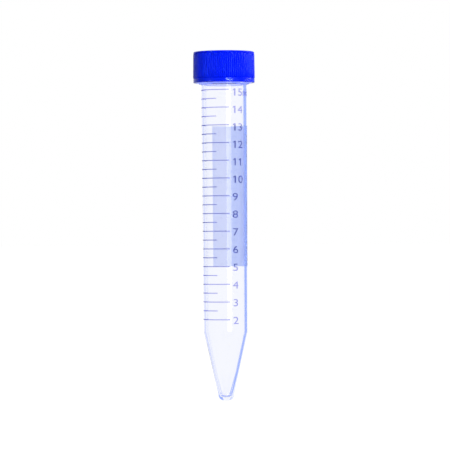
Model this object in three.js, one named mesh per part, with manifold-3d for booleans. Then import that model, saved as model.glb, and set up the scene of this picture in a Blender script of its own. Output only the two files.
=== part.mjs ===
// A screw-cap centrifuge tube of 15 ml: a clear tube with a conical bottom, its ribbed cap
// and the sealing liner inside the cap. Units are millimetres, +Z is up towards the cap,
// and the origin is the outside of the tube's tip.
import * as THREE from "three";
import { mergeVertices } from "three/addons/utils/BufferGeometryUtils.js";
import Module from "manifold-3d";

const wasm = await Module();
wasm.setup();

// Facets round a turned piece.
const SEGMENTS = 60;

// The tip is a short upright stub with a rounded, slightly flattened end.
const TIP = {
  flatRadius: 0.8,
  cornerRadius: 2.0,
  stubHeight: 2.8,
  boreFloor: 1.45,
  boreCornerRadius: 0.8,
  boreRadius: 1.65,
};
// The cone widens from the stub to the barrel, and its wall thins on the way up.
const CONE = {
  topHeight: 24.0,
  topRadius: 7.585,
  boreTopRadius: 6.84,
  boreKneeHeight: 9.0,
  boreKneeRadius: 3.47,
};
// The barrel has moulding draft, so it is widest under the collar.
const BARREL = { topHeight: 109.42, topRadius: 7.9 };
// The collar is a low flange just under the cap.
const COLLAR = { radius: 8.8, bottomHeight: 109.74, topHeight: 110.9 };
// The neck carries the outside thread up to the rim.
const NECK = { radius: 8.1, boreRadius: 7.05, rimHeight: 118.65, rimBevel: 0.3, footHeight: 111.1 };

// Both threads are one right-handed helix of this pitch. A ridge is widest where it leaves its wall.
const THREAD = { pitch: 3.2, turns: 1.4, rootWidth: 1.3, crestWidth: 0.6, sunk: 0.4, fadeTurns: 0.08 };
const TUBE_RIDGE = { startTurn: 0, crestRadius: 8.9, startHeight: 112.6 };
// The cap's ridge lies below the tube's by this much, so a tight cap pulls down on the tube.
const RIDGE_OFFSET = 1.2;
const CAP_RIDGE = { startTurn: 0.4, crestRadius: 8.35 };

const CAP = {
  bottomHeight: 110.15,
  topHeight: 121.0,
  topCornerRadius: 0.5,
  shoulderRadius: 10.6,
  bandRadius: 10.64,
  bandTopHeight: 111.65,
  ribTopHeight: 120.35,
  ribCount: 90,
  ribCrestRadius: 10.72,
  ribValleyRadius: 10.42,
  ribTaper: 0.1,
  boreRadius: 9.3,
  mouthBevel: 0.3,
  ceilingHeight: 119.7,
};

const LINER = { radius: 9.1, bottomHeight: 118.75, topHeight: 119.6, edgeBevel: 0.1 };

const CLEAR_PLASTIC = new THREE.MeshStandardMaterial({
  color: 0xeef2fc,
  roughness: 0.08,
  metalness: 0,
  transparent: true,
  opacity: 0.35,
});
const BLUE_PLASTIC = new THREE.MeshStandardMaterial({ color: 0x0a1ee0, roughness: 0.32, metalness: 0 });
const LINER_FOAM = new THREE.MeshStandardMaterial({ color: 0xe9eaee, roughness: 0.75, metalness: 0 });

/** Points [radius, height] on an arc, with angles in degrees from the outward direction. */
function arc(centreRadius, centreHeight, radius, fromDegrees, toDegrees, steps) {
  return Array.from({ length: steps + 1 }, (_, i) => {
    const angle = THREE.MathUtils.degToRad(fromDegrees + ((toDegrees - fromDegrees) * i) / steps);
    return [centreRadius + radius * Math.cos(angle), centreHeight + radius * Math.sin(angle)];
  });
}

/** A solid turned about +Z from an outline of [radius, height] points that runs up its outside. */
function turned(outline) {
  const points = outline.map(([radius, height]) => new THREE.Vector2(Math.max(radius, 0), height));
  return new THREE.LatheGeometry(points, SEGMENTS).rotateX(Math.PI / 2);
}

/** A closed geometry as a solid that can be joined and cut. */
function toSolid(geometry) {
  const bare = geometry.clone();
  bare.deleteAttribute("normal");
  bare.deleteAttribute("uv");
  const merged = mergeVertices(bare, 1e-5);
  const index = merged.getIndex().array;
  const kept = [];
  for (let i = 0; i < index.length; i += 3) {
    const [a, b, c] = [index[i], index[i + 1], index[i + 2]];
    if (a !== b && b !== c && c !== a) kept.push(a, b, c);
  }
  const vertProperties = new Float32Array(merged.getAttribute("position").array);
  return new wasm.Manifold(
    new wasm.Mesh({ numProp: 3, vertProperties, triVerts: new Uint32Array(kept) }),
  );
}

/** A joined or cut solid as a geometry. */
function toGeometry(solid) {
  const mesh = solid.getMesh();
  const geometry = new THREE.BufferGeometry();
  geometry.setAttribute("position", new THREE.BufferAttribute(mesh.vertProperties, 3));
  geometry.setIndex(new THREE.BufferAttribute(mesh.triVerts, 1));
  geometry.computeVertexNormals();
  return geometry;
}

/** Height of a helix, at a number of turns from its zero angle. */
function helixHeight(zeroHeight, turn) {
  return zeroHeight + THREAD.pitch * turn;
}

/**
 * A thread ridge: a straight bar of the ridge's section, bent round the axis onto the helix.
 * It is sunk a little into the wall it stands on, and dives under that wall at both ends.
 */
function threadRidge(wallRadius, crestRadius, zeroHeight, startTurn) {
  const outward = Math.sign(crestRadius - wallRadius);
  const anchorRadius = wallRadius - outward * THREAD.sunk;
  const root = THREAD.rootWidth / 2;
  const crest = THREAD.crestWidth / 2;
  const section = new THREE.Shape([
    new THREE.Vector2(anchorRadius, -root),
    new THREE.Vector2(wallRadius, -root),
    new THREE.Vector2(crestRadius, -crest),
    new THREE.Vector2(crestRadius, crest),
    new THREE.Vector2(wallRadius, root),
    new THREE.Vector2(anchorRadius, root),
  ]);
  const steps = Math.round(THREAD.turns * SEGMENTS);
  const bar = new THREE.ExtrudeGeometry(section, { depth: 1, steps, bevelEnabled: false });
  const buried = (THREAD.sunk / (Math.abs(crestRadius - wallRadius) + THREAD.sunk)) * 0.8;
  const position = bar.getAttribute("position");
  for (let i = 0; i < position.count; i += 1) {
    const along = 1 - position.getZ(i);
    const toEnd = Math.min(along, 1 - along) * THREAD.turns;
    const rise = THREE.MathUtils.smoothstep(toEnd, 0, THREAD.fadeTurns);
    const share = buried + (1 - buried) * rise;
    const radius = anchorRadius + (position.getX(i) - anchorRadius) * share;
    const turn = startTurn + THREAD.turns * along;
    const angle = 2 * Math.PI * turn;
    const height = helixHeight(zeroHeight, turn) + position.getY(i);
    position.setXYZ(i, radius * Math.cos(angle), radius * Math.sin(angle), height);
  }
  return bar;
}

/** The clear tube: tip, cone, barrel, collar and threaded neck round one open bore. */
function tubeBody() {
  const tipCentre = [TIP.flatRadius, TIP.cornerRadius];
  const boreCorner = [TIP.boreRadius - TIP.boreCornerRadius, TIP.boreFloor + TIP.boreCornerRadius];
  const rimInner = NECK.boreRadius + NECK.rimBevel;
  const rimOuter = NECK.radius - NECK.rimBevel;
  const rimEdge = NECK.rimHeight - NECK.rimBevel;
  const outline = [
    [0, 0],
    ...arc(...tipCentre, TIP.cornerRadius, -90, 0, 6),
    [TIP.flatRadius + TIP.cornerRadius, TIP.stubHeight],
    [CONE.topRadius, CONE.topHeight],
    [BARREL.topRadius, BARREL.topHeight],
    [COLLAR.radius, COLLAR.bottomHeight],
    [COLLAR.radius, COLLAR.topHeight],
    [NECK.radius, NECK.footHeight],
    [NECK.radius, rimEdge],
    [rimOuter, NECK.rimHeight],
    [rimInner, NECK.rimHeight],
    [NECK.boreRadius, rimEdge],
    [CONE.boreTopRadius, CONE.topHeight],
    [CONE.boreKneeRadius, CONE.boreKneeHeight],
    ...arc(...boreCorner, TIP.boreCornerRadius, 0, -90, 5),
    [0, TIP.boreFloor],
  ];
  const ridge = threadRidge(
    NECK.radius,
    TUBE_RIDGE.crestRadius,
    TUBE_RIDGE.startHeight,
    TUBE_RIDGE.startTurn,
  );
  return toGeometry(toSolid(turned(outline)).add(toSolid(ridge)));
}

/** The cap's grip: a ring of upright V-shaped ribs that narrows slightly towards the top. */
function ribbedSleeve() {
  const outline = Array.from({ length: 2 * CAP.ribCount }, (_, i) => {
    const radius = i % 2 === 0 ? CAP.ribCrestRadius : CAP.ribValleyRadius;
    const angle = (Math.PI * i) / CAP.ribCount;
    return new THREE.Vector2(radius * Math.cos(angle), radius * Math.sin(angle));
  });
  const depth = CAP.ribTopHeight - CAP.bandTopHeight;
  const sleeve = new THREE.ExtrudeGeometry(new THREE.Shape(outline), { depth, bevelEnabled: false });
  const position = sleeve.getAttribute("position");
  for (let i = 0; i < position.count; i += 1) {
    const rise = position.getZ(i);
    const narrowed = 1 - (CAP.ribTaper / CAP.ribCrestRadius) * (rise / depth);
    const height = CAP.bandTopHeight + rise;
    position.setXYZ(i, position.getX(i) * narrowed, position.getY(i) * narrowed, height);
  }
  return sleeve;
}

/** The cap: a smooth band, the ribbed grip and a flat top, hollow and threaded inside. */
function screwCap() {
  const coreRadius = (CAP.boreRadius + CAP.ribValleyRadius) / 2;
  const cornerHeight = CAP.topHeight - CAP.topCornerRadius;
  const core = turned([
    [0, CAP.bottomHeight],
    [CAP.bandRadius - CAP.mouthBevel, CAP.bottomHeight],
    [CAP.bandRadius, CAP.bottomHeight + CAP.mouthBevel],
    [CAP.bandRadius, CAP.bandTopHeight],
    [coreRadius, CAP.bandTopHeight],
    [coreRadius, CAP.ribTopHeight],
    [CAP.shoulderRadius, CAP.ribTopHeight],
    ...arc(CAP.shoulderRadius - CAP.topCornerRadius, cornerHeight, CAP.topCornerRadius, 0, 90, 4),
    [0, CAP.topHeight],
  ]);
  const hollow = turned([
    [0, CAP.bottomHeight - 1],
    [CAP.boreRadius + CAP.mouthBevel, CAP.bottomHeight - 1],
    [CAP.boreRadius + CAP.mouthBevel, CAP.bottomHeight],
    [CAP.boreRadius, CAP.bottomHeight + CAP.mouthBevel],
    [CAP.boreRadius, CAP.ceilingHeight],
    [0, CAP.ceilingHeight],
  ]);
  const ridge = threadRidge(
    CAP.boreRadius,
    CAP_RIDGE.crestRadius,
    TUBE_RIDGE.startHeight - RIDGE_OFFSET,
    CAP_RIDGE.startTurn,
  );
  const shell = toSolid(core).add(toSolid(ribbedSleeve())).subtract(toSolid(hollow));
  return toGeometry(shell.add(toSolid(ridge)));
}

/** The liner: a soft disc under the cap's ceiling that the rim seals against. */
function capLiner() {
  const { radius, bottomHeight, topHeight, edgeBevel } = LINER;
  return turned([
    [0, bottomHeight],
    [radius - edgeBevel, bottomHeight],
    [radius, bottomHeight + edgeBevel],
    [radius, topHeight - edgeBevel],
    [radius - edgeBevel, topHeight],
    [0, topHeight],
  ]);
}

/** One named piece of the assembly. */
function piece(name, geometry, material) {
  const mesh = new THREE.Mesh(geometry, material);
  mesh.name = name;
  return mesh;
}

const closure = new THREE.Group();
closure.add(piece("screw_cap", screwCap(), BLUE_PLASTIC));
closure.add(piece("cap_liner", capLiner(), LINER_FOAM));

const centrifugeTube = new THREE.Group();
centrifugeTube.add(piece("tube_body", tubeBody(), CLEAR_PLASTIC));
centrifugeTube.add(closure);

export default centrifugeTube;
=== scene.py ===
"""Looks for a 15 ml screw-cap centrifuge tube: clear tube, ribbed cap, liner and printed scale.

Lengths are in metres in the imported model's frame: +Z up the tube, the tip at the origin, and
-Y the side that the numerals are read from.
"""

import logging
import math
from collections.abc import Callable
from dataclasses import dataclass
from enum import Enum

import bpy
from mathutils import Matrix, Vector


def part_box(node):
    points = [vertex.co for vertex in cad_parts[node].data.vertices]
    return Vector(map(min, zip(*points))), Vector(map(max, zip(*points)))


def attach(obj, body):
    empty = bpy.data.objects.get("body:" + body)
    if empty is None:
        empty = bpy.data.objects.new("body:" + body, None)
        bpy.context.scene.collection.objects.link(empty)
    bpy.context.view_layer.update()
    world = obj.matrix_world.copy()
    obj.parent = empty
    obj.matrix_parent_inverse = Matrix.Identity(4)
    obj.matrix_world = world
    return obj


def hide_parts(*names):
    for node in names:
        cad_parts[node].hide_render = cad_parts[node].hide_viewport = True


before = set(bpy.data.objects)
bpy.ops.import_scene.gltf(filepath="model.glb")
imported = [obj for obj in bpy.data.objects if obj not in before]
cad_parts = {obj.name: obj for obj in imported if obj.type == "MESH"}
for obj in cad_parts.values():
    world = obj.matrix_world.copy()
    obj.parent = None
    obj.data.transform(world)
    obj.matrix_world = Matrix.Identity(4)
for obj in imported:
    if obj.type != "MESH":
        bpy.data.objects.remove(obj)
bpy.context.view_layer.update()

MM = 0.001
TURN = 2 * math.pi
SAME_HEIGHT = 0.0001 * MM
SAME_PLACE = 0.001 * MM
MERGE_GAP = 0.0005 * MM
POLE_RING = 0.01 * MM
HELD_FROM = 8
LOG = logging.getLogger("centrifuge_tube")

Colour = tuple[float, float, float]
Outline = list[tuple[float, float]]
Triple = tuple[float, float, float]


class Body(Enum):
    """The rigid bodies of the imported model."""

    TUBE = "tube"
    LINER = "liner"
    CAP = "cap"


class Slot(Enum):
    """The record's material slots."""

    CLEAR_PLASTIC = "clear_plastic"
    CAP_PLASTIC = "cap_plastic"
    LINER_FOAM = "liner_foam"
    SCALE_INK = "scale_ink"
    WRITING_PATCH = "writing_patch"


# ---------------- modelling bench


def deselect_everything() -> None:
    """Leave object mode with nothing selected, so that an operator acts on one piece."""
    if bpy.context.object is not None and bpy.context.object.mode != "OBJECT":
        bpy.ops.object.mode_set(mode="OBJECT")
    bpy.ops.object.select_all(action="DESELECT")


def arc(centre: tuple[float, float], radius: float, start: float, end: float, steps: int) -> Outline:
    """Points on a circular arc of an outline.

    Args:
        centre: radius and height of the arc's centre.
        radius: the arc's own radius.
        start: angle of the first point, in degrees from the outward direction.
        end: angle of the last point.
        steps: number of chords.

    Returns:
        The points, first and last included.
    """
    angles = [math.radians(start + (end - start) * i / steps) for i in range(steps + 1)]
    return [(centre[0] + radius * math.cos(a), centre[1] + radius * math.sin(a)) for a in angles]


def held(outline: Outline, margin: float = 0.12 * MM) -> Outline:
    """Add a point near both ends of each long straight stretch, so that shading stays true along it.

    Args:
        outline: points of radius and height.
        margin: how far from its ends a stretch is held.

    Returns:
        The outline with the points added.
    """
    made = [outline[0]]
    for start, end in zip(outline, outline[1:]):
        length = math.dist(start, end)
        if length > HELD_FROM * margin:
            for share in (margin / length, 1 - margin / length):
                made.append(tuple(a + (b - a) * share for a, b in zip(start, end)))
        made.append(end)
    return made


def around(radius: float, degrees: float, height: float) -> Vector:
    """The point at a radius, an angle from the front towards +X, and a height."""
    angle = math.radians(degrees)
    return Vector((radius * math.sin(angle), -radius * math.cos(angle), height))


def bearing(point: Vector) -> float:
    """Angle in degrees from the front towards +X, from -180 to 180."""
    return math.degrees(math.atan2(point.x, -point.y))


def scale_picked(x: float, y: float, z: float, about: Triple = (0, 0, 0)) -> None:
    """Scale what is selected in edit mode, about a point."""
    bpy.ops.transform.resize(value=(x, y, z), center_override=about)


class Workpiece:
    """One mesh object on the bench, shaped by edit-mode operators."""

    def __init__(self, name: str) -> None:
        """Take the object that an operator has just added, with its transform applied.

        Args:
            name: the piece's name.
        """
        bpy.ops.object.transform_apply(location=True, rotation=True, scale=True)
        self.obj = bpy.context.object
        self.obj.name = name
        self.obj.data.name = name

    def put(self, place: Matrix) -> None:
        """Move the mesh by a matrix."""
        self.obj.matrix_world = place
        bpy.ops.object.transform_apply(location=True, rotation=True, scale=True)

    def alone(self) -> None:
        """Select this piece alone, in object mode."""
        deselect_everything()
        self.obj.select_set(True)
        bpy.context.view_layer.objects.active = self.obj

    def edit(self) -> None:
        """Enter edit mode on this piece alone."""
        self.alone()
        bpy.ops.object.mode_set(mode="EDIT")

    def edit_all(self) -> None:
        """Enter edit mode with every point selected."""
        self.edit()
        bpy.ops.mesh.select_all(action="SELECT")

    def done(self) -> None:
        """Go back to object mode."""
        bpy.ops.object.mode_set(mode="OBJECT")

    def pick(self, kind: str, test: Callable[[Vector], bool]) -> None:
        """Select the vertices or faces whose middle passes a test, and nothing else.

        Args:
            kind: "VERT" or "FACE".
            test: says whether the element at a point is wanted.
        """
        self.edit()
        bpy.ops.mesh.select_mode(type=kind)
        bpy.ops.mesh.select_all(action="DESELECT")
        self.done()
        if kind == "VERT":
            for vertex in self.obj.data.vertices:
                vertex.select = test(vertex.co)
        else:
            for face in self.obj.data.polygons:
                face.select = test(face.center)
        self.edit()

    def pull_ring(self, old: tuple[float, float], new: tuple[float, float]) -> None:
        """Extrude the selected ring about the axis.

        Args:
            old: the ring's radius and height now.
            new: radius and height of the new ring.
        """
        rise = new[1] - old[1]
        bpy.ops.mesh.extrude_region_move(TRANSFORM_OT_translate={"value": (0, 0, rise)})
        share = new[0] / old[0]
        scale_picked(share, share, 1, (0, 0, new[1]))

    def close_pole(self) -> None:
        """Draw the selected ring together to a point on the axis."""
        bpy.ops.mesh.merge(type="CENTER")

    def apply(self, kind: str, **settings: object) -> None:
        """Add a modifier and apply it.

        Args:
            kind: the modifier's type.
            settings: its attributes, by name.
        """
        self.alone()
        modifier = self.obj.modifiers.new(kind.title(), kind)
        for name, value in settings.items():
            setattr(modifier, name, value)
        bpy.ops.object.modifier_apply(modifier=modifier.name)

    def tidy_normals(self) -> None:
        """Merge doubled points, and turn every face outwards."""
        self.edit_all()
        bpy.ops.mesh.remove_doubles(threshold=MERGE_GAP)
        bpy.ops.mesh.normals_make_consistent(inside=False)
        self.done()

    def smooth(self, angle: float = math.radians(32)) -> None:
        """Shade smooth.

        Args:
            angle: edges sharper than this stay crisp.
        """
        self.alone()
        bpy.ops.object.shade_smooth_by_angle(angle=angle)

    def take(self, other: "Workpiece") -> None:
        """Join another piece into this one by a boolean union, and remove the other."""
        self.apply("BOOLEAN", operation="UNION", object=other.obj, solver="EXACT")
        bpy.data.objects.remove(other.obj)


def turned(name: str, outline: Outline, columns: int) -> Workpiece:
    """Turn an outline about the axis, ring by ring.

    Args:
        name: the piece's name.
        outline: points of radius and height; both ends lie on the axis.
        columns: facets round the piece.

    Returns:
        The closed piece, with its faces pointing out.
    """
    start_height, rings, end_height = outline[0][1], outline[1:-1], outline[-1][1]
    first = rings[0]
    deselect_everything()
    bpy.ops.mesh.primitive_circle_add(vertices=columns, radius=first[0], location=(0, 0, first[1]))
    piece = Workpiece(name)
    piece.edit_all()
    for old, new in zip(rings, rings[1:]):
        piece.pull_ring(old, new)
    for ring, height in ((rings[-1], end_height), (first, start_height)):
        radius, level = ring
        piece.pick(
            "VERT",
            lambda p: abs(p.z - level) < SAME_HEIGHT and abs(p.xy.length - radius) < SAME_PLACE,
        )
        piece.pull_ring(ring, (POLE_RING, height))
        piece.close_pole()
    piece.tidy_normals()
    return piece


@dataclass(frozen=True)
class Thread:
    """One right-handed helical ridge, with rounded flanks and a run-out at both ends."""

    pitch: float = 3.2 * MM
    turns: float = 1.4
    root_width: float = 1.3 * MM
    crest_width: float = 0.6 * MM
    sunk: float = 0.4 * MM
    fade_turns: float = 0.09
    steps_per_turn: int = 72
    crest_bevel: float = 0.14 * MM
    bevel_steps: int = 3
    end_share: float = 0.3

    def share(self, turn: float) -> float:
        """How much of the full section is left at a place along the ridge.

        Args:
            turn: turns from the ridge's start.

        Returns:
            The share, from end_share to 1.
        """
        near_end = min(turn, self.turns - turn) / self.fade_turns
        ease = min(max(near_end, 0.0), 1.0)
        return self.end_share + (1 - self.end_share) * ease * ease * (3 - 2 * ease)

    def ridge(
        self, name: str, wall: float, crest: float, zero_height: float, start_turn: float
    ) -> Workpiece:
        """Model a ridge on a round wall.

        Args:
            name: the piece's name.
            wall: radius of the wall that the ridge stands on.
            crest: radius of the ridge's crest, inside or outside the wall.
            zero_height: height of the helix at zero turns.
            start_turn: turns at which the ridge starts.

        Returns:
            The closed ridge, a little sunk in its wall.
        """
        side = math.copysign(1, crest - wall)
        anchor = wall - side * self.sunk
        depth = abs(crest - anchor)
        deselect_everything()
        bpy.ops.mesh.primitive_plane_add(size=1, rotation=(math.pi / 2, 0, 0))
        piece = Workpiece(name)
        piece.edit_all()
        scale_picked(depth, 1, self.root_width)
        piece.pick("VERT", lambda p: p.x * side > 0)
        scale_picked(1, 1, self.crest_width / self.root_width)
        bpy.ops.mesh.bevel(offset=self.crest_bevel, segments=self.bevel_steps, affect="VERTICES")
        bpy.ops.mesh.select_all(action="SELECT")
        bpy.ops.transform.translate(value=(anchor + side * depth / 2, 0, zero_height))
        first_turn = TURN * start_turn
        bpy.ops.transform.rotate(value=-first_turn, orient_axis="Z", center_override=(0, 0, 0))
        bpy.ops.transform.translate(value=(0, 0, self.pitch * start_turn))
        steps = round(self.turns * self.steps_per_turn)
        bite, rise = TURN * self.turns / steps, self.pitch * self.turns / steps
        self.shrink(anchor, first_turn, zero_height + self.pitch * start_turn, self.share(0))
        for i in range(1, steps + 1):
            bpy.ops.mesh.extrude_region_move(TRANSFORM_OT_translate={"value": (0, 0, rise)})
            bpy.ops.transform.rotate(value=-bite, orient_axis="Z", center_override=(0, 0, 0))
            turn = self.turns * i / steps
            ratio = self.share(turn) / self.share(self.turns * (i - 1) / steps)
            height = zero_height + self.pitch * (start_turn + turn)
            self.shrink(anchor, first_turn + bite * i, height, ratio)
        piece.tidy_normals()
        return piece

    @staticmethod
    def shrink(anchor: float, angle: float, height: float, ratio: float) -> None:
        """Scale the selected section about its foot in the wall.

        Args:
            anchor: radius of the foot.
            angle: its angle about the axis, from +X.
            height: its height.
            ratio: the scale.
        """
        if ratio != 1:
            foot = (anchor * math.cos(angle), anchor * math.sin(angle), height)
            scale_picked(ratio, ratio, ratio, foot)


# ---------------- shader bench


def math_operator(operation: str, reflected: bool = False) -> Callable[..., "Link"]:
    """An operator for Link that adds a Math node.

    Args:
        operation: what the node does.
        reflected: whether the link stands on the right of the operator.

    Returns:
        The operator's method.
    """

    def operate(self: "Link", other: "Link | float") -> "Link":
        """Add the node and take its output."""
        pair = (other, self) if reflected else (self, other)
        return self.paint.node("ShaderNodeMath", {"operation": operation}, dict(enumerate(pair)))

    return operate


class Link:
    """A socket of a node tree; Python's operators on it add Math nodes."""

    __add__ = math_operator("ADD")
    __radd__ = math_operator("ADD", reflected=True)
    __sub__ = math_operator("SUBTRACT")
    __rsub__ = math_operator("SUBTRACT", reflected=True)
    __mul__ = math_operator("MULTIPLY")
    __rmul__ = math_operator("MULTIPLY", reflected=True)
    __lt__ = math_operator("LESS_THAN")
    __gt__ = math_operator("GREATER_THAN")

    def __init__(self, paint: "Paint", socket: bpy.types.NodeSocket) -> None:
        """Wrap an output socket of the given paint."""
        self.paint = paint
        self.socket = socket

    def out(self, name: str) -> "Link":
        """Another output of the same node."""
        return Link(self.paint, self.socket.node.outputs[name])


class Paint:
    """The nodes of one material or of the world, emptied and ready to be laid."""

    def __init__(self, owner: bpy.types.Material | bpy.types.World) -> None:
        """Clear a node tree.

        Args:
            owner: the material or world whose tree it is.
        """
        owner.use_nodes = True
        self.owner = owner
        self.tree = owner.node_tree
        self.tree.nodes.clear()

    def node(self, kind: str, settings: dict | None = None, inputs: dict | None = None) -> Link:
        """Add a node.

        Args:
            kind: the node's type name.
            settings: its attributes, set first.
            inputs: values or links of its sockets, by name or number.

        Returns:
            The node's first output, or an input of an output node.
        """
        made = self.tree.nodes.new(kind)
        for name, value in (settings or {}).items():
            setattr(made, name, value)
        for name, value in (inputs or {}).items():
            if isinstance(value, Link):
                self.tree.links.new(value.socket, made.inputs[name])
            else:
                made.inputs[name].default_value = value
        sockets = [s for s in made.outputs if s.enabled] or list(made.inputs)
        return Link(self, sockets[0])

    def where(self) -> Link:
        """Object coordinates."""
        return self.node("ShaderNodeTexCoord").out("Object")

    def along(self, axis: str) -> Link:
        """The object coordinate along "X", "Y" or "Z"."""
        return self.node("ShaderNodeSeparateXYZ", {}, {"Vector": self.where()}).out(axis)

    def noise(self, size: float, detail: float, stretch: Triple = (1, 1, 1)) -> Link:
        """A soft noise from 0 to 1.

        Args:
            size: about how large its spots are, in metres.
            detail: how many finer layers it has.
            stretch: scale of the coordinates along each axis.

        Returns:
            The noise.
        """
        spot = self.node("ShaderNodeMapping", {}, {"Vector": self.where(), "Scale": stretch})
        inputs = {"Vector": spot, "Scale": 1 / size, "Detail": detail}
        return self.node("ShaderNodeTexNoise", {}, inputs)

    def mix(self, factor: "Link | float", first: Colour, second: Colour) -> Link:
        """Blend two colours.

        Args:
            factor: 0 for the first, 1 for the second.
            first: one colour.
            second: the other.

        Returns:
            The blend.
        """
        # The node's colour sockets share their names with others, so they go by number.
        inputs = {"Factor": factor, 6: (*first, 1), 7: (*second, 1)}
        made = self.node("ShaderNodeMix", {"data_type": "RGBA"}, inputs)
        return Link(self, made.socket.node.outputs[2])

    def ramp(self, value: Link, low: float, high: float, course: str = "SMOOTHSTEP") -> Link:
        """0 up to one value, 1 from another, and a course between them."""
        limits = {"Value": value, "From Min": low, "From Max": high}
        return self.node("ShaderNodeMapRange", {"interpolation_type": course}, limits)

    def bump(self, height: Link, distance: float) -> Link:
        """A normal that follows a height of up to a distance, in metres."""
        return self.node("ShaderNodeBump", {}, {"Height": height, "Distance": distance})

    def finish(self, **inputs: object) -> Link:
        """End a material in a Principled shader.

        Args:
            inputs: its sockets by name, with underscores for spaces.

        Returns:
            The material's output.
        """
        sockets = {name.replace("_", " "): value for name, value in inputs.items()}
        shader = self.node("ShaderNodeBsdfPrincipled", {}, sockets)
        return self.node("ShaderNodeOutputMaterial", {}, {"Surface": shader})


@dataclass(frozen=True)
class ClearPlastic:
    """Clear glossy plastic with a faint blue depth tint and an uneven polish."""

    refraction: float = 1.49
    clear: Colour = (0.991, 0.993, 1.0)
    milk: Colour = (0.978, 0.982, 1.0)
    tint: Colour = (0.80, 0.86, 1.0)
    tint_density: float = 60.0
    polish_size: float = 5 * MM
    polish_detail: float = 3
    polish_stretch: Triple = (1, 1, 0.3)
    haze: tuple[float, float] = (0.010, 0.040)

    def material(self) -> bpy.types.Material:
        """Build the material.

        Returns:
            The material.
        """
        paint = Paint(bpy.data.materials.new("clear_plastic"))
        low, high = self.haze
        polish = paint.noise(self.polish_size, self.polish_detail, self.polish_stretch)
        end = paint.finish(
            Base_Color=paint.mix(polish, self.clear, self.milk),
            Roughness=low + (high - low) * polish,
            IOR=self.refraction,
            Transmission_Weight=1.0,
        )
        depth = {"Color": (*self.tint, 1), "Density": self.tint_density}
        absorb = paint.node("ShaderNodeVolumeAbsorption", {}, depth)
        paint.tree.links.new(absorb.socket, end.socket.node.inputs["Volume"])
        return paint.owner


@dataclass(frozen=True)
class CapPlastic:
    """Deep blue moulded plastic: satin ribs painted lighter on their crests, a glossier band, light
    that soaks through, and a painted glow inside the hollow.
    """

    body: Colour = (0.0004, 0.008, 0.92)
    # Lighter blue for the painted highlight on the rib crests, which leaves the grooves in painted
    # shade; clouds also mix it in as random tone.
    rubbed: Colour = (0.0015, 0.014, 1.0)
    sheen: Colour = (0.12, 0.30, 1.0)
    # Painted light: the inside of the hollow glows in this colour, standing in for light that comes
    # through the wall.
    glow: Colour = (0.30, 0.37, 0.88)
    refraction: float = 1.49
    shine: float = 0.2
    satin: float = 0.22
    cloud_dulling: float = 0.07
    crest_polish: float = 0.05
    cloud_size: float = 4 * MM
    # Share of the painted crest highlight in the colour mix; the rest is random cloudy tone.
    crest_wear: float = 0.6
    band_coat: float = 0.15
    coat_roughness: float = 0.14
    soak: float = 0.15
    soak_reach: Colour = (0.1, 0.35, 1.0)
    soak_depth: float = 1.5 * MM
    grain_size: float = 0.35 * MM
    grain_height: float = 0.003 * MM
    hollow_radius: float = 9.62 * MM
    valley_radius: float = 10.4 * MM
    crest_radius: float = 10.7 * MM
    band_top: float = 111.45 * MM
    roof_height: float = 119.9 * MM

    def material(self) -> bpy.types.Material:
        """Build the material.

        Returns:
            The material.
        """
        paint = Paint(bpy.data.materials.new("cap_plastic"))
        flat_inputs = {0: paint.where(), 1: (1, 1, 0)}
        flat = paint.node("ShaderNodeVectorMath", {"operation": "MULTIPLY"}, flat_inputs)
        radius = paint.node("ShaderNodeVectorMath", {"operation": "LENGTH"}, {0: flat}).out("Value")
        height = paint.along("Z")
        crest = paint.ramp(radius, self.valley_radius, self.crest_radius, "LINEAR")
        # Painted light: the inside of the hollow, below the roof, is given a glow.
        inside = (radius < self.hollow_radius) * (height < self.roof_height)
        clouds = paint.noise(self.cloud_size, detail=3)
        # Rib crests are painted lighter, a painted highlight that leaves the grooves in painted shade,
        # mixed with random cloudy tone.
        crest_highlight_and_clouds = crest * self.crest_wear + clouds * (1 - self.crest_wear)
        paint.finish(
            Base_Color=paint.mix(crest_highlight_and_clouds, self.body, self.rubbed),
            Roughness=self.satin + clouds * self.cloud_dulling - crest * self.crest_polish,
            Specular_IOR_Level=self.shine,
            Specular_Tint=(*self.sheen, 1),
            IOR=self.refraction,
            Coat_Weight=(height < self.band_top) * self.band_coat,
            Coat_Roughness=self.coat_roughness,
            Subsurface_Weight=self.soak,
            Subsurface_Radius=self.soak_reach,
            Subsurface_Scale=self.soak_depth,
            # Painted glow inside the hollow, no lamp.
            Emission_Color=paint.mix(inside, (0, 0, 0), self.glow),
            Emission_Strength=1.0,
            Normal=paint.bump(paint.noise(self.grain_size, detail=4), self.grain_height),
        )
        return paint.owner


@dataclass(frozen=True)
class LinerFoam:
    """Soft white closed-cell foam, with a ring pressed in by the rim."""

    pale: Colour = (0.86, 0.87, 0.89)
    shade: Colour = (0.74, 0.76, 0.80)
    cell_size: float = 0.25 * MM
    cell_height: float = 0.03 * MM
    patch_size: float = 3 * MM
    dullness: float = 0.72
    patch_dulling: float = 0.15

    def material(self) -> bpy.types.Material:
        """Build the material.

        Returns:
            The material.
        """
        paint = Paint(bpy.data.materials.new("liner_foam"))
        inputs = {"Vector": paint.where(), "Scale": 1 / self.cell_size}
        cells = paint.node("ShaderNodeTexVoronoi", {"feature": "F1"}, inputs)
        patches = paint.noise(self.patch_size, detail=2)
        paint.finish(
            Base_Color=paint.mix((cells + patches) * 0.5, self.pale, self.shade),
            Roughness=self.dullness + self.patch_dulling * patches,
            Normal=paint.bump(cells, self.cell_height),
        )
        return paint.owner


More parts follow.
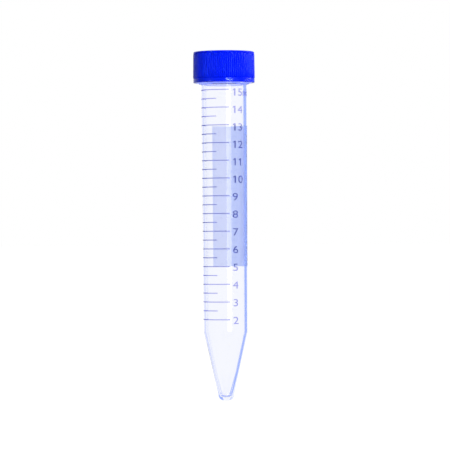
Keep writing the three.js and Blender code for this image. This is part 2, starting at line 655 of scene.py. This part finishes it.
@dataclass(frozen=True)
class PrintedInk:
    """See-through blue ink that tints what lies behind it, with painted shade that darkens it within
    the patch's height band.
    """

    name: str
    # Ink colour darkened by painted shade, used between the two heights below, where the patch lies
    # behind the print.
    dense: Colour
    dense_low: float
    dense_high: float
    thin: Colour = (0.40, 0.41, 0.88)
    blotch_size: float = 0.5 * MM
    blotch_height: float = 0.004 * MM
    blotch_depth: float = 0.1
    gloss: float = 0.2
    blotch_dulling: float = 0.2
    shine: float = 0.1
    refraction: float = 1.15
    see_through: float = 0.9

    def material(self) -> bpy.types.Material:
        """Build the material.

        Returns:
            The material.
        """
        paint = Paint(bpy.data.materials.new(self.name))
        blotch = paint.noise(self.blotch_size, detail=4)
        height = paint.along("Z")
        # Painted shade: within the patch's height band the ink is painted darker, mottled by the
        # blotches.
        on_patch = (height > self.dense_low) * (height < self.dense_high)
        shade_and_mottle = on_patch * (1 - self.blotch_depth + self.blotch_depth * blotch)
        paint.finish(
            Base_Color=paint.mix(shade_and_mottle, self.thin, self.dense),
            Roughness=self.gloss + self.blotch_dulling * blotch,
            Specular_IOR_Level=self.shine,
            IOR=self.refraction,
            Transmission_Weight=self.see_through,
            Normal=paint.bump(blotch, self.blotch_height),
        )
        return paint.owner


@dataclass(frozen=True)
class WritingPatch:
    """Matte pale print for writing on: a fine tooth, light let through, and painted shade that darkens
    it towards +X.
    """

    # thin is the patch's colour on its lit side, and full its colour in the painted shade towards +X.
    thin: Colour = (0.71, 0.76, 1.0)
    full: Colour = (0.55, 0.64, 1.0)
    thin_side: float = 0.5 * MM
    full_side: float = 3.5 * MM
    tooth_size: float = 0.12 * MM
    tooth_height: float = 0.008 * MM
    cloud_size: float = 6 * MM
    cloud_depth: float = 0.1
    dullness: float = 0.55
    tooth_dulling: float = 0.15
    shine: float = 0.2
    refraction: float = 1.2
    see_through: float = 0.93

    def material(self) -> bpy.types.Material:
        """Build the material.

        Returns:
            The material.
        """
        paint = Paint(bpy.data.materials.new("writing_patch"))
        tooth = paint.noise(self.tooth_size, detail=3)
        # Painted shade: the patch is painted darker towards +X, where less light falls on it; clouds
        # add random tone.
        side = paint.ramp(paint.along("X"), self.thin_side, self.full_side)
        clouds = paint.noise(self.cloud_size, detail=3)
        shade_and_mottle = side * (1 - self.cloud_depth) + clouds * self.cloud_depth
        paint.finish(
            Base_Color=paint.mix(shade_and_mottle, self.thin, self.full),
            Roughness=self.dullness + self.tooth_dulling * tooth,
            Specular_IOR_Level=self.shine,
            IOR=self.refraction,
            Transmission_Weight=self.see_through,
            Normal=paint.bump(tooth, self.tooth_height),
        )
        return paint.owner


def dress(piece: Workpiece, material: bpy.types.Material, body: Body) -> None:
    """Finish a piece.

    Args:
        piece: the piece.
        material: its one material.
        body: the body it rides on.
    """
    piece.obj.data.materials.clear()
    piece.obj.data.materials.append(material)
    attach(piece.obj, body.value)
    LOG.info("%s: %d faces", piece.obj.name, len(piece.obj.data.polygons))


# ---------------- the object's pieces


@dataclass
class ClearTube:
    """The clear tube: stub tip, cone, barrel, collar and threaded neck round one open bore."""

    flat_radius: float = 0.8 * MM
    tip_corner: float = 2.0 * MM
    stub_height: float = 2.8 * MM
    cone_top: float = 24.0 * MM
    cone_top_radius: float = 7.585 * MM
    barrel_top: float = 109.42 * MM
    barrel_top_radius: float = 7.9 * MM
    collar_radius: float = 8.8 * MM
    collar_bottom: float = 109.74 * MM
    collar_top: float = 110.9 * MM
    neck_radius: float = 8.1 * MM
    neck_foot: float = 111.1 * MM
    neck_bore: float = 7.05 * MM
    rim_round: float = 0.42 * MM
    bore_floor: float = 1.45 * MM
    bore_corner: float = 0.8 * MM
    bore_tip_radius: float = 1.65 * MM
    bore_knee: tuple[float, float] = (3.47 * MM, 9.0 * MM)
    bore_cone_radius: float = 6.84 * MM
    thread_zero: float = 112.6 * MM
    thread_crest: float = 8.9 * MM
    columns: int = 240

    def barrel_radius(self, height: float) -> float:
        """Outside radius of the barrel at a height."""
        share = (height - self.cone_top) / (self.barrel_top - self.cone_top)
        return self.cone_top_radius + (self.barrel_top_radius - self.cone_top_radius) * share

    def outline(self) -> Outline:
        """Trace the wall, from the tip up the outside and down the bore.

        Returns:
            The outline; small offsets from a named size round off the corner there.
        """
        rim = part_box("tube_body")[1].z
        rim_middle = rim - self.rim_round
        tip_radius = self.flat_radius + self.tip_corner
        knee_radius, knee_height = self.bore_knee
        corner = (self.bore_tip_radius - self.bore_corner, self.bore_floor + self.bore_corner)
        return [
            (0, 0),
            *arc((self.flat_radius, self.tip_corner), self.tip_corner, -90, 0, 12),
            (tip_radius, self.stub_height - 0.25 * MM),
            (tip_radius + 0.03 * MM, self.stub_height + 0.1 * MM),
            (self.cone_top_radius - 0.10 * MM, self.cone_top - 0.45 * MM),
            (self.cone_top_radius - 0.02 * MM, self.cone_top - 0.08 * MM),
            (self.barrel_radius(self.cone_top + 0.5 * MM), self.cone_top + 0.5 * MM),
            (self.barrel_top_radius, self.barrel_top),
            (self.barrel_top_radius + 0.10 * MM, self.barrel_top + 0.08 * MM),
            (self.collar_radius - 0.16 * MM, self.collar_bottom - 0.06 * MM),
            (self.collar_radius - 0.03 * MM, self.collar_bottom + 0.04 * MM),
            (self.collar_radius, self.collar_bottom + 0.16 * MM),
            (self.collar_radius, self.collar_top - 0.15 * MM),
            (self.collar_radius - 0.15 * MM, self.collar_top),
            (self.neck_radius + 0.1 * MM, self.neck_foot - 0.02 * MM),
            (self.neck_radius, self.neck_foot + 0.1 * MM),
            *arc((self.neck_radius - self.rim_round, rim_middle), self.rim_round, 0, 90, 6),
            *arc((self.neck_bore + self.rim_round, rim_middle), self.rim_round, 90, 180, 6),
            (self.bore_cone_radius + 0.002 * MM, self.cone_top + 0.5 * MM),
            (self.bore_cone_radius - 0.03 * MM, self.cone_top - 0.15 * MM),
            (self.bore_cone_radius - 0.14 * MM, self.cone_top - 0.6 * MM),
            (knee_radius + 0.12 * MM, knee_height + 0.5 * MM),
            (knee_radius - 0.12 * MM, knee_height - 0.4 * MM),
            *arc(corner, self.bore_corner, 8, -90, 9),
            (0, self.bore_floor),
        ]

    def build(self) -> Workpiece:
        """Turn the wall and add its outside thread.

        Returns:
            The tube, for the print to be wrapped on.
        """
        tube = turned("clear_tube", held(self.outline()), self.columns)
        ridge = Thread().ridge("tube_thread", self.neck_radius, self.thread_crest, self.thread_zero, 0)
        tube.take(ridge)
        tube.smooth()
        dress(tube, ClearPlastic().material(), Body.TUBE)
        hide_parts("tube_body")
        return tube


@dataclass
class RibbedCap:
    """The blue cap: smooth lower band, upright ribs, rounded flat top, threaded hollow."""

    band_radius: float = 10.64 * MM
    band_height: float = 1.5 * MM
    edge_round: float = 0.25 * MM
    rib_count: int = 90
    columns_per_rib: int = 6
    rib_crest: float = 10.71 * MM
    rib_valley: float = 10.42 * MM
    rib_taper: float = 0.10 * MM
    rib_end: float = 0.3 * MM
    shoulder_height: float = 0.65 * MM
    shoulder_radius: float = 10.60 * MM
    top_round: float = 0.5 * MM
    bore_radius: float = 9.3 * MM
    mouth_bevel: float = 0.3 * MM
    roof_thickness: float = 1.3 * MM
    gate_radius: float = 1.1 * MM
    gate_depth: float = 0.15 * MM
    thread_start_turn: float = 0.4
    thread_crest: float = 8.35 * MM
    thread_zero: float = 111.4 * MM
    rib_section: tuple[float, ...] = (0.78, 0.98, 1.0, 0.98, 0.78)
    rib_fade: float = 0.75
    crease: float = math.radians(40)

    def __post_init__(self) -> None:
        """Take the cap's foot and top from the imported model."""
        low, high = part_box("screw_cap")
        self.foot, self.top = low.z, high.z
        self.rib_foot = self.foot + self.band_height
        self.rib_top = self.top - self.shoulder_height
        self.columns = self.rib_count * self.columns_per_rib

    def valley_at(self, height: float) -> float:
        """Radius of the valleys between the ribs, which narrow towards the top."""
        share = (height - self.rib_foot) / (self.rib_top - self.rib_foot)
        return self.rib_valley - self.rib_taper * share

    def rib_levels(self) -> list[float]:
        """Space out the rings that carry the ribs.

        Returns:
            Their heights, upwards; the outermost carry no rib, and the next ones a lower rib.
        """
        low, high = self.rib_foot, self.rib_top
        middle = [low + self.rib_end + (high - low - 2 * self.rib_end) * i / 4 for i in range(5)]
        return [low, low + self.rib_end / 3, *middle, high - self.rib_end / 3, high]

    def outline(self) -> Outline:
        """Trace the cap, from the ceiling down the hollow and up the outside.

        Returns:
            The outline; small offsets from a named size round off the corner there.
        """
        ceiling = self.top - self.roof_thickness
        band_low = self.foot + self.edge_round
        inner_edge = self.band_radius - self.edge_round
        shoulder = self.shoulder_radius
        corner = (shoulder - self.top_round, self.top - self.top_round)
        return [
            (0, ceiling),
            (self.bore_radius - 0.2 * MM, ceiling),
            (self.bore_radius, ceiling - 0.2 * MM),
            (self.bore_radius, self.foot + self.mouth_bevel),
            (self.bore_radius + self.mouth_bevel, self.foot),
            *arc((inner_edge, band_low), self.edge_round, -90, 0, 4),
            (self.band_radius, band_low + 0.05 * MM),
            (self.band_radius, self.rib_foot - 0.17 * MM),
            (self.band_radius, self.rib_foot - 0.12 * MM),
            (self.band_radius - 0.08 * MM, self.rib_foot - 0.02 * MM),
            *[(self.valley_at(z), z) for z in self.rib_levels()],
            (shoulder - 0.06 * MM, self.rib_top + 0.03 * MM),
            *arc(corner, self.top_round, 0, 90, 8),
            (self.gate_radius + 0.1 * MM, self.top),
            (self.gate_radius, self.top - self.gate_depth),
            (0, self.top - self.gate_depth),
        ]

    def raise_ribs(self, cap: Workpiece) -> None:
        """Push the columns of each rib outwards, in a flat-topped section with faded ends.

        Args:
            cap: the plain turned cap.
        """
        levels = self.rib_levels()
        rings = {self.rib_fade: [levels[1], levels[-2]], 1: levels[2:-2]}
        full = self.rib_crest / self.rib_valley - 1
        step = TURN / self.columns
        outside = self.bore_radius + 2 * self.mouth_bevel
        for offset, section in enumerate(self.rib_section, -(len(self.rib_section) // 2)):
            column = offset % self.columns_per_rib
            for share, chosen in rings.items():
                cap.pick(
                    "VERT",
                    lambda p: p.xy.length > outside
                    and any(abs(p.z - z) < SAME_PLACE for z in chosen)
                    and round(math.atan2(p.y, p.x) / step) % self.columns_per_rib == column,
                )
                grow = 1 + full * section * share
                scale_picked(grow, grow, 1)
        cap.done()

    def build(self) -> None:
        """Turn the shell, raise its ribs and add its inside thread."""
        cap = turned("ribbed_cap", self.outline(), self.columns)
        self.raise_ribs(cap)
        ridge = Thread().ridge(
            "cap_thread", self.bore_radius, self.thread_crest, self.thread_zero, self.thread_start_turn
        )
        cap.take(ridge)
        cap.smooth(self.crease)
        dress(cap, CapPlastic().material(), Body.CAP)
        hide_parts("screw_cap")


@dataclass
class SealingLiner:
    """The foam disc under the cap's ceiling, with the rim's ring pressed into it."""

    edge_round: float = 0.18 * MM
    ring_radius: float = 7.6 * MM
    ring_width: float = 0.55 * MM
    ring_depth: float = 0.07 * MM
    columns: int = 96

    def build(self) -> None:
        """Turn the disc."""
        low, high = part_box("cap_liner")
        radius = high.x
        inner, outer = self.ring_radius - self.ring_width, self.ring_radius + self.ring_width
        edge = self.edge_round
        outline = [
            (0, low.z),
            (inner, low.z),
            (inner + 0.15 * MM, low.z + self.ring_depth),
            (outer - 0.15 * MM, low.z + self.ring_depth),
            (outer, low.z),
            *arc((radius - edge, low.z + edge), edge, -90, 0, 4),
            *arc((radius - edge, high.z - edge), edge, 0, 90, 4),
            (0, high.z),
        ]
        liner = turned("sealing_liner", outline, self.columns)
        liner.smooth()
        dress(liner, LinerFoam().material(), Body.LINER)
        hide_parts("cap_liner")


@dataclass
class PrintedScale:
    """The printed volume scale: a line each half millilitre, and a numeral each millilitre."""

    tube: ClearTube
    first_volume: int = 2
    last_volume: int = 15
    first_height: float = 28.18 * MM
    last_height: float = 107.62 * MM
    line_width: float = 0.30 * MM
    line_start: float = -112.0
    long_end: float = 11.5
    short_end: float = -21.0
    film: float = 0.025 * MM
    gap: float = 0.004 * MM
    bearing_step: float = 1.5
    numeral_start: float = 19.5
    numeral_height: float = 2.5 * MM
    letter_share: float = 0.69
    stretch: float = 1.35
    flag: tuple[float, float, float] = (0.40 * MM, 0.38 * MM, 0.34 * MM)
    advance: float = 2.3 * MM
    unit_shift: float = 0.28
    low_drop: float = 0.25 * MM
    high_drop: float = 0.90 * MM
    drop_from: int = 8
    standoff: float = 0.3 * MM
    curve_steps: int = 6
    slices_from: float = 15
    slices_to: float = 100
    slice_count: int = 34
    # Ink colours painted darker as painted shade within the patch's height band.
    line_dense: Colour = (0.27, 0.30, 0.70)
    numeral_dense: Colour = (0.13, 0.16, 0.48)

    def height_of(self, volume: float) -> float:
        """Height of the line of a volume, in millilitres."""
        share = (volume - self.first_volume) / (self.last_volume - self.first_volume)
        return self.first_height + (self.last_height - self.first_height) * share

    def film_band(self, name: str, low: float, high: float, start: float, end: float) -> Workpiece:
        """A film on the barrel between two heights and two bearings.

        Args:
            name: the piece's name.
            low: height of the lower edge.
            high: height of the upper edge.
            start: bearing of one side, in degrees.
            end: bearing of the other side, larger than start and under 360 more.

        Returns:
            A closed thin sheet that stands a hair off the barrel.
        """
        radius = self.tube.barrel_radius(low) + self.gap
        deselect_everything()
        bpy.ops.mesh.primitive_cylinder_add(
            vertices=round(360 / self.bearing_step),
            radius=radius,
            depth=high - low,
            end_fill_type="NOTHING",
            location=(0, 0, (low + high) / 2),
        )
        band = Workpiece(name)
        band.pick("FACE", lambda p: not start < start + (bearing(p) - start) % 360 < end)
        bpy.ops.mesh.delete(type="FACE")
        band.pick("VERT", lambda p: p.z > (low + high) / 2)
        share = (self.tube.barrel_radius(high) + self.gap) / radius
        scale_picked(share, share, 1)
        band.done()
        band.apply("SOLIDIFY", thickness=self.film, offset=1.0)
        band.tidy_normals()
        return band

    def lines(self) -> Workpiece:
        """Every line of the scale.

        Returns:
            The lines, as one film.
        """
        made = []
        for half in range(2 * self.first_volume, 2 * self.last_volume + 1):
            middle = self.height_of(half / 2)
            end = self.long_end if half % 2 == 0 else self.short_end
            low, high = middle - self.line_width / 2, middle + self.line_width / 2
            made.append(self.film_band(f"line_{half}", low, high, self.line_start, end))
        return joined("scale_lines", made)

    def glyph(self, sign: str, degrees: float, middle: float) -> Workpiece:
        """One flat character that stands in front of the barrel.

        Args:
            sign: the character.
            degrees: bearing of its middle.
            middle: height of its middle.

        Returns:
            The character.
        """
        deselect_everything()
        bpy.ops.object.text_add()
        text = bpy.context.object
        text.data.body = sign
        text.data.size = self.numeral_height / self.letter_share
        text.data.align_x = "CENTER"
        text.data.resolution_u = self.curve_steps
        bpy.ops.object.convert(target="MESH")
        letter = Workpiece(f"sign_{sign}")
        radius = self.tube.barrel_radius(middle) + self.standoff
        foot = middle - self.numeral_height / 2
        turn = Matrix.Rotation(math.radians(degrees), 4, "Z") @ Matrix.Rotation(math.pi / 2, 4, "X")
        if sign == "1":
            letter = self.flagged(letter)
        wide = Matrix.Diagonal((self.stretch, 1, 1, 1))
        letter.put(Matrix.Translation(around(radius, degrees, foot)) @ turn @ wide)
        return letter

    def flagged(self, stroke: Workpiece) -> Workpiece:
        """Give a 1 its slanting flag.

        Args:
            stroke: the plain upright stroke.

        Returns:
            The whole 1.
        """
        left = min(v.co.x for v in stroke.obj.data.vertices)
        top = max(v.co.y for v in stroke.obj.data.vertices)
        reach, depth, slope = self.flag
        deselect_everything()
        bpy.ops.mesh.primitive_plane_add(size=1)
        flag = Workpiece("flag")
        flag.edit_all()
        scale_picked(reach, depth, 1)
        bpy.ops.transform.translate(value=(left - reach / 2, top - depth / 2, 0))
        flag.pick("VERT", lambda p: p.x < left - reach / 2)
        bpy.ops.transform.translate(value=(0, -slope, 0))
        flag.done()
        return joined(stroke.obj.name, [stroke, flag])

    def numerals(self, tube: Workpiece) -> Workpiece:
        """Every numeral and the unit, as one film.

        Args:
            tube: the tube that they are wrapped on.

        Returns:
            The film.
        """
        made = []
        for volume in range(self.first_volume, self.last_volume + 1):
            signs = f"{volume}ml" if volume == self.last_volume else str(volume)
            share = max(0, volume - self.drop_from) / (self.last_volume - self.drop_from)
            drop = self.low_drop + (self.high_drop - self.low_drop) * share
            middle = self.height_of(volume) - drop
            step = math.degrees(self.advance / self.tube.barrel_radius(middle))
            for i, sign in enumerate(signs):
                place = i + 0.5 + (self.unit_shift if sign in "ml" else 0)
                made.append(self.glyph(sign, self.numeral_start + step * place, middle))
        numerals = joined("scale_numerals", made)
        self.slice_upright(numerals)
        wrap = {"wrap_method": "NEAREST_SURFACEPOINT", "wrap_mode": "ABOVE_SURFACE"}
        numerals.apply("SHRINKWRAP", target=tube.obj, offset=self.gap, **wrap)
        numerals.apply("SOLIDIFY", thickness=self.film, offset=1.0)
        return numerals

    def slice_upright(self, numerals: Workpiece) -> None:
        """Cut the flat characters by planes through the axis, so that they can bend round it.

        Args:
            numerals: every character, joined.
        """
        numerals.edit()
        step = (self.slices_to - self.slices_from) / (self.slice_count - 1)
        for i in range(self.slice_count):
            side = around(1, self.slices_from + step * i + 90, 0)
            bpy.ops.mesh.select_all(action="SELECT")
            bpy.ops.mesh.bisect(plane_co=(0, 0, 0), plane_no=side)
        numerals.done()

    def build(self, tube: Workpiece) -> None:
        """Print the lines and numerals.

        Args:
            tube: the tube that they are printed on.
        """
        low, high = self.height_of(BackPatch.low_volume), self.height_of(BackPatch.high_volume)
        line_ink = PrintedInk("line_ink", self.line_dense, low, high)
        numeral_ink = PrintedInk("numeral_ink", self.numeral_dense, low, high)
        for piece, ink in ((self.lines(), line_ink), (self.numerals(tube), numeral_ink)):
            dress(piece, ink.material(), Body.TUBE)


@dataclass
class BackPatch:
    """The pale patch for writing on, printed on the back of the barrel."""

    scale: PrintedScale
    low_volume: float = 5
    high_volume: float = 13
    start: float = 85.5
    end: float = 216.3

    def build(self) -> None:
        """Print the patch."""
        low = self.scale.height_of(self.low_volume)
        high = self.scale.height_of(self.high_volume)
        patch = self.scale.film_band("writing_patch", low, high, self.start, self.end)
        patch.smooth()
        dress(patch, WritingPatch().material(), Body.TUBE)


def joined(name: str, pieces: list[Workpiece]) -> Workpiece:
    """Join several pieces.

    Args:
        name: the whole piece's name.
        pieces: the pieces, of which the first takes up the rest.

    Returns:
        The whole piece.
    """
    deselect_everything()
    for piece in pieces:
        piece.obj.select_set(True)
    bpy.context.view_layer.objects.active = pieces[0].obj
    bpy.ops.object.join()
    return Workpiece(name)


# ---------------- studio


@dataclass(frozen=True)
class SoftLight:
    """An upright soft box, seen only as gloss and soft light; its glow is the radiance of its face."""

    name: str
    degrees: float
    size: tuple[float, float]
    foot: float
    glow: Colour


@dataclass(frozen=True)
class Card:
    """A glowing tinted card that only the named kinds of ray meet."""

    name: str
    size: tuple[float, float]
    colour: Colour
    seen_by: tuple[str, ...]

    def build(self, place: Matrix) -> None:
        """Make the card.

        Args:
            place: where it goes, from flat at the origin.
        """
        deselect_everything()
        bpy.ops.mesh.primitive_plane_add(size=1)
        card = Workpiece(self.name)
        card.put(place @ Matrix.Diagonal((*self.size, 1, 1)))
        paint = Paint(bpy.data.materials.new(self.name))
        glow = paint.node("ShaderNodeEmission", {}, {"Color": (*self.colour, 1), "Strength": 1.0})
        paint.node("ShaderNodeOutputMaterial", {}, {"Surface": glow})
        card.obj.data.materials.append(paint.owner)
        for ray in ("camera", "diffuse", "shadow", "glossy", "transmission"):
            setattr(card.obj, f"visible_{ray}", ray in self.seen_by)


@dataclass
class Studio:
    """White floor and surroundings, soft lights, tinted cards and the camera.

    The clear wall shows the side cards along its edges and the flat cards round its tip. From
    band_only up only the cap mirrors a light, and from cap_only up only its ribs and top do.
    """

    camera_distance: float = 1.10
    camera_height: float = 55.7 * MM
    lens: float = 253.6
    sensor: float = 36
    pitch: float = 0.27
    roll: float = 0.41
    front_colour: Colour = (0.25, 0.36, 1.0)
    soft_level: float = 0.08
    band_only: float = 0.153
    cap_only: float = 0.168
    wall_bounces: int = 24
    light_distance: float = 0.9
    card_distance: float = 1.0
    card_foot: float = -1.13
    table_drop: float = 0.05
    floor_radius: float = 30
    floor_drop: float = 0.2 * MM
    floor_grey: float = 0.12
    front_edge: tuple[float, float] = (0.2, 0.9)

    def floor(self) -> None:
        """A wide pale floor under the tip."""
        deselect_everything()
        bpy.ops.mesh.primitive_circle_add(
            vertices=64, radius=self.floor_radius, fill_type="NGON", location=(0, 0, -self.floor_drop)
        )
        floor = Workpiece("floor")
        paint = Paint(bpy.data.materials.new("floor_paper"))
        glow = {"Emission Color": (1, 1, 1, 1), "Emission Strength": 1.0}
        matt = {"Base Color": (*[self.floor_grey] * 3, 1), "Roughness": 1.0, "Specular IOR Level": 0.0}
        shader = paint.node("ShaderNodeBsdfPrincipled", {}, {**matt, **glow})
        paint.node("ShaderNodeOutputMaterial", {}, {"Surface": shader})
        floor.obj.data.materials.append(paint.owner)
        for ray in ("transmission", "diffuse", "glossy"):
            setattr(floor.obj, f"visible_{ray}", False)

    def world(self) -> None:
        """White surroundings: blue in front where they show as gloss, and dimmer as soft light."""
        world = bpy.data.worlds.new("studio")
        bpy.context.scene.world = world
        paint = Paint(world)
        way = paint.node("ShaderNodeTexCoord").out("Generated")
        ahead = paint.node("ShaderNodeSeparateXYZ", {}, {"Vector": way}).out("Y")
        behind = paint.ramp(ahead, *self.front_edge)
        path = paint.node("ShaderNodeLightPath")
        soft = path.out("Is Diffuse Ray")
        gloss = path.out("Is Reflection Ray") * (1 - soft)
        colour = paint.mix(1 - gloss * (1 - behind), self.front_colour, (1, 1, 1))
        level = 1 - (1 - self.soft_level) * soft
        background = paint.node("ShaderNodeBackground", {}, {"Color": colour, "Strength": level})
        paint.node("ShaderNodeOutputWorld", {}, {"Surface": background})

    def hang(self, light: SoftLight) -> None:
        """Hang a soft box beside the object, facing it.

        Args:
            light: the soft box.
        """
        width, height = light.size
        data = bpy.data.lights.new(light.name, "AREA")
        data.shape = "RECTANGLE"
        data.size, data.size_y = light.size
        data.energy = max(light.glow) * math.pi * width * height
        data.color = [part / max(light.glow) for part in light.glow]
        lamp = bpy.data.objects.new(light.name, data)
        bpy.context.collection.objects.link(lamp)
        spot = around(self.light_distance, light.degrees, light.foot + height / 2)
        lamp.location = spot
        lamp.rotation_euler = (Vector((0, 0, spot.z)) - spot).to_track_quat("-Z", "Y").to_euler()
        lamp.visible_camera = False
        lamp.visible_transmission = False

    def stand(self, card: Card, degrees: float) -> None:
        """Stand a card beside the object, facing it.

        Args:
            card: the card.
            degrees: its bearing from the object.
        """
        spot = around(self.card_distance, degrees, self.card_foot + card.size[1] / 2)
        aim = Vector((-spot.x, -spot.y, 0)).to_track_quat("Z", "Y").to_matrix().to_4x4()
        card.build(Matrix.Translation(spot) @ aim)

    def lay(self, card: Card, back: float) -> None:
        """Lay a card flat below the tip, its middle some way behind the object."""
        card.build(Matrix.Translation((0, back, -self.table_drop)))

    def camera(self) -> None:
        """A long lens just below the middle of the tube, level but for a small tilt."""
        data = bpy.data.cameras.new("camera")
        data.lens = self.lens
        data.sensor_width = self.sensor
        data.clip_start, data.clip_end = 0.01, 100
        camera = bpy.data.objects.new("camera", data)
        bpy.context.collection.objects.link(camera)
        camera.location = (0, -self.camera_distance, self.camera_height)
        tilt = Matrix.Rotation(math.radians(90 + self.pitch), 4, "X")
        lean = Matrix.Rotation(math.radians(-self.roll), 4, "Z")
        camera.rotation_euler = (tilt @ lean).to_euler()
        bpy.context.scene.camera = camera

    def build(self) -> None:
        """Set up the whole studio."""
        self.floor()
        self.world()
        band, cap = self.band_only, self.cap_only
        for light in (
            SoftLight("key_strip", 22, (0.40, 1.25), -0.18, (3.6, 3.6, 3.6)),
            SoftLight("cap_fill", 34, (0.8, 0.8), cap, (2.2, 2.2, 2.2)),
            SoftLight("band_glint", 19, (0.34, 0.014), band, (84.0, 102.0, 106.0)),
            SoftLight("left_strip", -52, (0.09, 0.5), cap, (32.0, 29.0, 7.0)),
            SoftLight("right_box", 104, (0.55, 0.7), cap, (5.0, 4.8, 3.0)),
        ):
            self.hang(light)
        through = ("glossy", "transmission")
        self.stand(Card("blue_card", (0.66, 2.4), (0.34, 0.46, 1.0), through), 144)
        self.stand(Card("left_card", (0.26, 2.4), (0.62, 0.68, 1.0), through), -148)
        self.lay(Card("near_card", (0.15, 0.15), (0.42, 0.50, 1.0), ("transmission",)), 0)
        self.lay(Card("far_card", (1.2, 1.2), (0.55, 0.62, 1.0), ("glossy",)), 0.75)
        self.camera()
        scene = bpy.context.scene
        scene.view_settings.view_transform = "Standard"
        for kind in ("max", "glossy", "transmission"):
            setattr(scene.cycles, f"{kind}_bounces", self.wall_bounces)


def main() -> None:
    """Build the tube, its cap and liner, its print, and the studio."""
    logging.basicConfig(level=logging.INFO, format="%(name)s: %(message)s")
    shape = ClearTube()
    tube = shape.build()
    RibbedCap().build()
    SealingLiner().build()
    scale = PrintedScale(shape)
    scale.build(tube)
    BackPatch(scale).build()
    Studio().build()
    deselect_everything()


if __name__ == "__main__":
    main()
